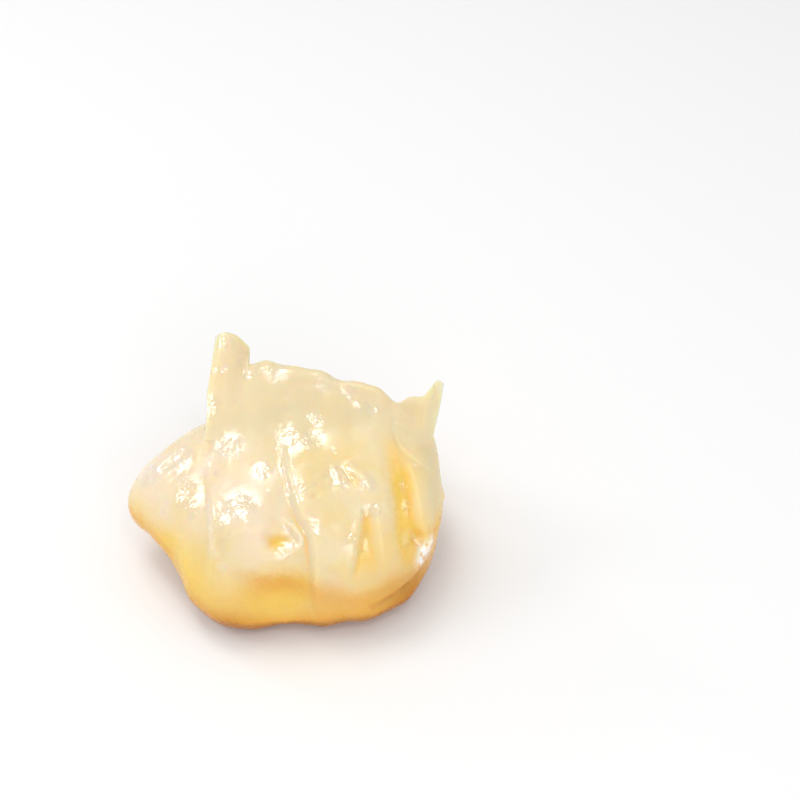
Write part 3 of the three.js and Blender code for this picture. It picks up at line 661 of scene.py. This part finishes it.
def wrapper_mesh():
    angle, rise, points, waves, sunk = wrapper_grid()
    placed = (points + waves).reshape(-1, 3) - np.array([*PLAN_MIDDLE, 0])
    under_foot = placed[: angle.shape[1]].mean(0)  # the last point, which takes the lowest row's masks
    mesh = bpy.data.meshes.new("wrapper")
    mesh.from_pydata((np.vstack([placed, under_foot]) * MM).tolist(), [], skin_faces(angle, rise))
    mesh.polygons.foreach_set("use_smooth", [True] * len(mesh.polygons))
    for name, values in wrapper_masks(angle, rise, points, sunk).items():
        layer = mesh.attributes.new(name, "FLOAT", "POINT")
        layer.data.foreach_set("value", np.append(values.ravel(), values[0].mean()).astype(np.float32))
    mesh.update()
    return mesh


# ---- finishes ----
def paint(code):
    """A colour from its six-figure code, as the shader takes it."""
    shares = [int(code[i : i + 2], 16) / 255 for i in (0, 2, 4)]
    return [*(s / 12.92 if s <= 0.04045 else ((s + 0.055) / 1.055) ** 2.4 for s in shares), 1.0]


def add(tree, kind, inputs=None, **settings):
    """A node with its settings and inputs; an input is a plain value or another node's output."""
    made = tree.nodes.new("ShaderNode" + kind)
    for name, value in settings.items():
        setattr(made, name, value)
    for name, value in (inputs or {}).items():
        socket = made.inputs[name]
        if isinstance(value, bpy.types.NodeSocket):
            tree.links.new(value, socket)
        else:
            socket.default_value = value
    return made


def mask(tree, name):
    return add(tree, "Attribute", attribute_name=name).outputs["Fac"]


def ranged(tree, value, low, high, to_low=0.0, to_high=1.0):
    inputs = {"Value": value, "From Min": low, "From Max": high, "To Min": to_low, "To Max": to_high}
    return add(tree, "MapRange", inputs, interpolation_type="SMOOTHSTEP").outputs["Result"]


def times(tree, *values):
    product = values[0]
    for value in values[1:]:
        product = add(tree, "Math", {0: product, 1: value}, operation="MULTIPLY").outputs[0]
    return product


def noise(tree, place, scale, detail, roughness):
    inputs = {"Vector": place, "Scale": scale, "Detail": detail, "Roughness": roughness}
    return add(tree, "TexNoise", inputs).outputs["Fac"]


COLOUR_BELOW, COLOUR_ABOVE, COLOUR_OUT = 6, 7, 2  # sockets of the Mix node when it mixes colours


def tinted(tree, share, below, above):
    """One colour over another by a share from 0 to 1; each is a code or a node's output."""
    below, above = (paint(colour) if isinstance(colour, str) else colour for colour in (below, above))
    inputs = {"Factor": share, COLOUR_BELOW: below, COLOUR_ABOVE: above}
    return add(tree, "Mix", inputs, data_type="RGBA").outputs[COLOUR_OUT]


def sum_of(tree, value, share, base):
    """A share of a value, and a base on top."""
    return add(tree, "Math", {0: value, 1: share, 2: base}, operation="MULTIPLY_ADD").outputs[0]


# ---- the wrapper's finish: its colours, in the order in which they go on ----
CREAM = "ebdbb6"
YELLOWER = "ecd6a0"
SHEET = "e1d4b0"
SHRIMP = "f0dfca"
# painted shade: amber that grows towards the bottom, where less light falls
LOW_SHADE = "e8bb56"
# painted shade in spots: amber under the lobe, low down, in gaps and in the dimple
SPOT_SHADE = "f6d266"
# painted shade in the creases and hollows
HOLLOW_SHADE = "ffd362"
# painted shade on the sides that face down
DOWNWARD_SHADE = "e8a83c"
# painted shade at the foot, brown
FOOT_SHADE = "b87200"
# painted shade on the underside near the floor, darkest brown
UNDERSIDE_SHADE = "a66205"
# whitish grains on the crumb: partly dry starch, partly a painted highlight
STARCH_AND_GLINT = "fffdf8"

# how strongly they go on; where there are two values, over filling and with none behind
SHEET_STRENGTH = 0.8
SPOT_SHADE_STRENGTH = 0.85
HOLLOW_SHADE_STRENGTHS = (0.8, 0.2)
DOWNWARD_SHADE_STRENGTHS = (0.85, 0.1)
FOOT_SHADE_STRENGTH = 0.9

# its noises: scale, detail and roughness
CLOUDS = (110, 3, 0.55)
MOTTLE = (420, 3, 0.6)
FLECKS = (262, 1, 0.5)
FINE = (1500, 0.6, 0.4)

# what those noises do: values of the noise from and to, and what it gives there if not 0 and 1
YELLOWER_CLOUDS = (0.38, 0.66)
SHRIMP_CLOUDS = (0.70, 0.35, 0.5, 1.0)
LOW_SHADE_MOTTLE = (0.35, 0.65, 0.75, 1.0)
STARCH_AND_GLINT_GRAINS = (0.28, 0.50)
WET_FLECKS = (0.64, 0.74, 0.0, 0.8)
ROUGHNESS_MOTTLE = (0.3, 0.7, 0.20, 0.34)
RIDGES_AT = 0.5  # value of the fine noise along a crinkle's ridge
RIDGES_HEIGHT = -2.0  # how the relief changes away from it, against the mottle's own relief

# heights in mm from and to which a colour or the flecks set in
CLOUDS_LIFT = 14.0  # mm by which the clouds blur those heights
LOW_SHADE_HEIGHTS = (23.0, 10.0)
DOWNWARD_SHADE_HEIGHTS = (27.0, 19.0)
UNDERSIDE_SHADE_HEIGHTS = (10.0, 1.0)
FLECKS_HEIGHTS = (17.0, 25.0)

# how far the skin faces down, from and to: -1 straight up, 1 straight down
DOWNWARD_SHADE_FACING = (-0.40, 0.20)
UNDERSIDE_SHADE_FACING = (-0.05, 0.30)

SHEET_DULLER = 0.15  # roughness that a sheet with no filling behind it has more
COAT_WEIGHTS = (0.0, 0.6, 0.03, 0.9)  # how wrinkled from and to, and the coat's weight there
CRINKLE_DEPTHS = (0.0, 1.0, 0.00001, 0.00006)  # the same for the bump's depth in metres
WRAPPER_VALUES = {
    "IOR": 1.31,
    "Subsurface Weight": 1.0,
    "Subsurface Radius": (1.0, 0.62, 0.28),
    "Subsurface Scale": 0.0022,
    "Coat Roughness": 0.06,
    "Coat IOR": 2.2,
}


def by_filling(tree, filled, empty):
    """A strength over filling, and another where the wrapper has none behind it."""
    return ranged(tree, mask(tree, "sheet"), 0.0, 1.0, filled, empty)


def wrapper_colour(tree, clouds, mottle, fine, blurred_height):
    """Starch over filling: cream, paler where shrimp is behind, with painted shade in amber and brown low
    down, in the folds and hollows, on the sides that face down and at the foot, and whitish grains on the
    crumb that are partly a painted highlight.
    """
    facing_down = mask(tree, "facing_down")
    shrimp = times(tree, mask(tree, "shrimp"), ranged(tree, clouds, *SHRIMP_CLOUDS))
    # painted shade towards the bottom
    low = times(tree, ranged(tree, blurred_height, *LOW_SHADE_HEIGHTS), ranged(tree, mottle, *LOW_SHADE_MOTTLE))
    # painted shade on the sides that face down, below the shoulders
    downward_shade = ranged(tree, facing_down, *DOWNWARD_SHADE_FACING)
    downward_shade = times(tree, downward_shade, ranged(tree, blurred_height, *DOWNWARD_SHADE_HEIGHTS))
    # painted shade on the underside, low down and facing down
    under_shade = ranged(tree, mask(tree, "height"), *UNDERSIDE_SHADE_HEIGHTS)
    under_shade = times(tree, under_shade, ranged(tree, facing_down, *UNDERSIDE_SHADE_FACING))
    # whitish grains, partly a painted highlight
    grains = ranged(tree, fine, *STARCH_AND_GLINT_GRAINS)

    colour = tinted(tree, ranged(tree, clouds, *YELLOWER_CLOUDS), CREAM, YELLOWER)
    for tint, share in (
        (SHEET, times(tree, mask(tree, "sheet"), SHEET_STRENGTH)),
        (SHRIMP, shrimp),
        (LOW_SHADE, low),
        (SPOT_SHADE, times(tree, mask(tree, "spot_shade"), SPOT_SHADE_STRENGTH)),
        (HOLLOW_SHADE, times(tree, mask(tree, "hollow_shade"), by_filling(tree, *HOLLOW_SHADE_STRENGTHS))),
        (DOWNWARD_SHADE, times(tree, downward_shade, by_filling(tree, *DOWNWARD_SHADE_STRENGTHS))),
        (FOOT_SHADE, times(tree, mask(tree, "foot_shade"), FOOT_SHADE_STRENGTH)),
        (UNDERSIDE_SHADE, under_shade),
        (STARCH_AND_GLINT, times(tree, mask(tree, "starch_and_glint"), grains)),
    ):
        colour = tinted(tree, share, colour, tint)
    return colour


def crinkled_normal(tree, mottle, fine, wrinkled):
    """The way the surface faces, with sharp crinkles where the skin is wrinkled."""
    ridges = add(tree, "Math", {0: fine, 1: RIDGES_AT}, operation="SUBTRACT").outputs[0]
    ridges = add(tree, "Math", {0: ridges}, operation="ABSOLUTE").outputs[0]
    relief = sum_of(tree, ridges, RIDGES_HEIGHT, mottle)
    depth = ranged(tree, wrinkled, *CRINKLE_DEPTHS)
    return add(tree, "Bump", {"Height": relief, "Distance": depth, "Strength": 1.0}).outputs["Normal"]


def wrapper_finish():
    """Wet and glassy, brightest where the skin is wrinkled and in flecks here and there."""
    material = bpy.data.materials.new("steamed wrapper")
    material.use_nodes = True
    tree = material.node_tree
    shader = tree.nodes["Principled BSDF"]
    place = add(tree, "TexCoord").outputs["Object"]
    clouds, mottle, flecks, fine = (noise(tree, place, *kind) for kind in (CLOUDS, MOTTLE, FLECKS, FINE))
    blurred_height = sum_of(tree, clouds, CLOUDS_LIFT, mask(tree, "height"))
    flecks = times(tree, ranged(tree, flecks, *WET_FLECKS), ranged(tree, blurred_height, *FLECKS_HEIGHTS))
    wrinkled = add(tree, "Math", {0: mask(tree, "wrinkled"), 1: flecks}, operation="MAXIMUM").outputs[0]
    wet = ranged(tree, mottle, *ROUGHNESS_MOTTLE)
    normal = crinkled_normal(tree, mottle, fine, wrinkled)
    for name, output in {
        "Base Color": wrapper_colour(tree, clouds, mottle, fine, blurred_height),
        "Roughness": sum_of(tree, mask(tree, "sheet"), SHEET_DULLER, wet),
        "Coat Weight": ranged(tree, wrinkled, *COAT_WEIGHTS),
        "Normal": normal,
        "Coat Normal": normal,
    }.items():
        tree.links.new(output, shader.inputs[name])
    for name, value in WRAPPER_VALUES.items():
        shader.inputs[name].default_value = value
    return material


FLOOR_COLOUR = "f7f7f7"
FLOOR_ROUGHNESS = 0.7


def floor_finish():
    material = bpy.data.materials.new("pale floor")
    material.use_nodes = True
    shader = material.node_tree.nodes["Principled BSDF"]
    shader.inputs["Base Color"].default_value = paint(FLOOR_COLOUR)
    shader.inputs["Roughness"].default_value = FLOOR_ROUGHNESS
    return material


def shown(name, mesh, material):
    piece = bpy.data.objects.new(name, mesh)
    bpy.context.scene.collection.objects.link(piece)
    mesh.materials.append(material)
    return piece


wrapper = shown("wrapper", wrapper_mesh(), wrapper_finish())
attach(wrapper, "root")
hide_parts("dumpling")

# ---- floor ----
FLOOR_HALF = 2.0
FLOOR_HEIGHT = -0.00002  # just under the foot
FLOOR_CORNERS = [(-1, -1), (1, -1), (1, 1), (-1, 1)]
floor_mesh = bpy.data.meshes.new("floor")
floor_points = [(x * FLOOR_HALF, y * FLOOR_HALF, FLOOR_HEIGHT) for x, y in FLOOR_CORNERS]
floor_mesh.from_pydata(floor_points, [], [(0, 1, 2, 3)])
floor = shown("floor", floor_mesh, floor_finish())


# ---- light ----
LIGHTS_AIM = (0, 0, 0.018)
LIGHTS = {  # azimuth (0 is the camera's side and 90 the right), elevation, distance, size, power
    "wide overhead softbox": (0, 85, 0.75, 0.70, 0.3),
    "front softbox": (18, 26, 0.8, 0.60, 1.38),
    "overhead lamp": (-141, 70, 0.6, 0.24, 0.60),
    "left lamp": (-96, 43, 0.6, 0.21, 0.42),
    "side lamp": (-128, 28, 0.6, 0.11, 0.18),
    "front lamp": (30, 65, 0.6, 0.11, 0.18),
    "high lamp": (-60, 81, 0.6, 0.12, 0.12),
    "fore lamp": (-12, 60, 0.6, 0.09, 0.11),
    "right lamp": (72, 38, 0.6, 0.08, 0.07),
}
WORLD_STRENGTH = 0.60


def turned_to(placed, target):
    """Turns a light or a camera, which looks along its own -Z, towards a point."""
    placed.rotation_euler = (Vector(target) - placed.location).to_track_quat("-Z", "Y").to_euler()


def lit_from(name, azimuth, elevation, distance, size, power):
    """A round softbox that looks at the dumpling."""
    turn, lift = np.radians(azimuth), np.radians(elevation)
    way = np.array([np.sin(turn) * np.cos(lift), -np.cos(turn) * np.cos(lift), np.sin(lift)])
    light = bpy.data.lights.new(name, "AREA")
    light.shape = "DISK"
    light.size = size
    light.energy = power
    lamp = bpy.data.objects.new(name, light)
    lamp.location = way * distance
    turned_to(lamp, LIGHTS_AIM)
    bpy.context.scene.collection.objects.link(lamp)


for name, values in LIGHTS.items():
    lit_from(name, *values)

world = bpy.data.worlds.new("studio")
bpy.context.scene.world = world
world.use_nodes = True
background = world.node_tree.nodes["Background"]
background.inputs["Color"].default_value = (1, 1, 1, 1)
background.inputs["Strength"].default_value = WORLD_STRENGTH

# ---- camera ----
CAMERA_TARGET = Vector((19.648, 38.401, 0)) * MM
CAMERA_PLACE = Vector((19.648, -170.208, 201.45)) * MM
LENS = 66.0
SENSOR_WIDTH = 36
NEAREST_SEEN = 0.01
camera = bpy.data.objects.new("camera", bpy.data.cameras.new("camera"))
camera.data.lens = LENS
camera.data.sensor_width = SENSOR_WIDTH
camera.data.clip_start = NEAREST_SEEN
camera.location = CAMERA_PLACE
turned_to(camera, CAMERA_TARGET)
bpy.context.scene.collection.objects.link(camera)
bpy.context.scene.camera = camera
bpy.context.scene.view_settings.view_transform = "Standard"
